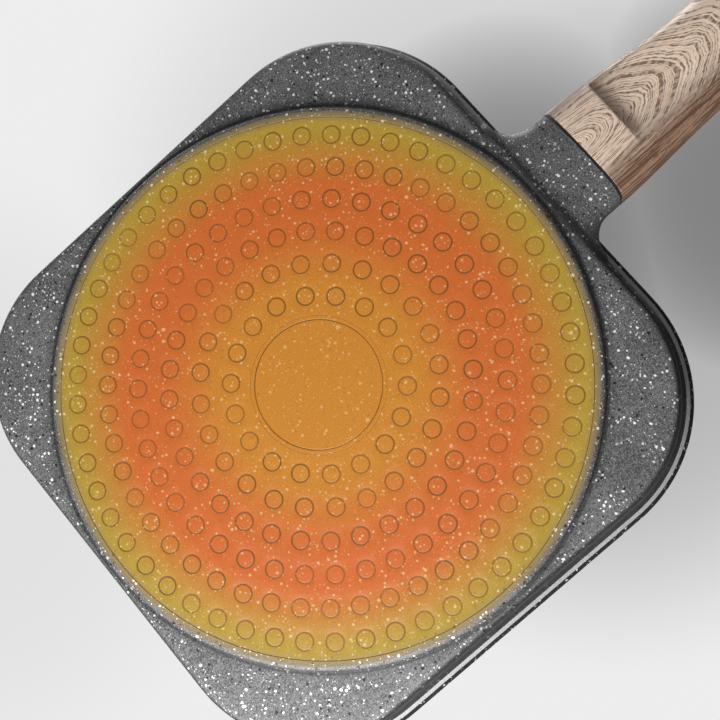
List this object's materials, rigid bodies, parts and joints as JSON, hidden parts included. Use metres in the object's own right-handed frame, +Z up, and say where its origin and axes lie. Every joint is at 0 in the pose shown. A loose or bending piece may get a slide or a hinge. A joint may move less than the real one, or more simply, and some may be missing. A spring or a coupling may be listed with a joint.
{
  "type": "egg pan",
  "caption": "Square cast egg pan with round cups, a perforated induction plate in its base and a wood-look handle screwed to a cast neck.",
  "frame": {"origin": "centre of the underside of the base, on the resting plane", "axes": "+Z up, +X along the handle away from the pan, +Y to the left when looking along +X"},
  "size_m": [0.3653, 0.188, 0.0435],
  "materials": {
    "stone_coat": "speckled stone-look coating on cast aluminium",
    "plate_coat": "speckled coating with a heat-tint of amber, orange and olive",
    "gasket": "matt black silicone",
    "wood_look": "satin wood-look film on phenolic",
    "insert_brass": "turned",
    "zinc_steel": "zinc plated"
  },
  "bodies": {
    "root": {"pan_body": "stone_coat", "base_plate": "plate_coat", "neck_gasket": "gasket", "handle_grip": "wood_look", "threaded_insert": "insert_brass", "flat_washer": "zinc_steel", "lock_washer": "zinc_steel", "handle_bolt": "zinc_steel"}
  },
  "joints": []
}
